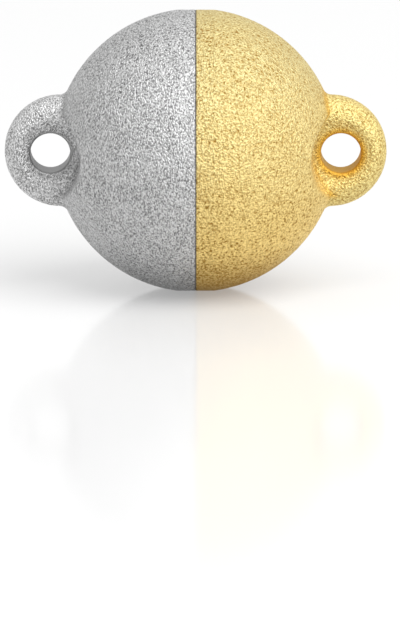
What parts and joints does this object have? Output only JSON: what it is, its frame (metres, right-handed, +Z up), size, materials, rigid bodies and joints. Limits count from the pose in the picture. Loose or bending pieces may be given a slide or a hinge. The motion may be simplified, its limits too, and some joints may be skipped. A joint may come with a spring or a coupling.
{
  "type": "magnetic ball clasp",
  "caption": "Frosted two-tone ball clasp for a necklace or bracelet: a silver half and a gold half, each with a ring eye, held face to face by magnets.",
  "frame": {"origin": "on the surface that the ball rests on, straight under its centre, in the plane of the seam", "axes": "+X along the clasp from the silver end to the gold end, +Z up, the holes of both eyes along Y, and the picture's camera on the -Y side"},
  "size_m": [0.0164, 0.012, 0.012],
  "materials": {
    "silver_plate": "silver plate on cast brass, frosted all over with fine grains, smooth in the holes",
    "gold_plate": "light gold plate on cast brass, frosted all over with fine grains, smooth in the holes",
    "magnet": "nickel plated, satin"
  },
  "bodies": {
    "silver_half": {"silver_half": "silver_plate"},
    "silver_magnet": {"silver_magnet": "magnet"},
    "gold_half": {"gold_half": "gold_plate", "gold_magnet": "magnet"}
  },
  "joints": [
    {"name": "swivel", "type": "hinge", "parent": "silver_half", "child": "silver_magnet", "pos_m": [0, 0, 0.006], "axis": [1, 0, 0], "continuous": true},
    {"name": "pull_off", "type": "slide", "parent": "silver_magnet", "child": "gold_half", "axis": [1, 0, 0], "range_m": [0, 0.02]}
  ]
}
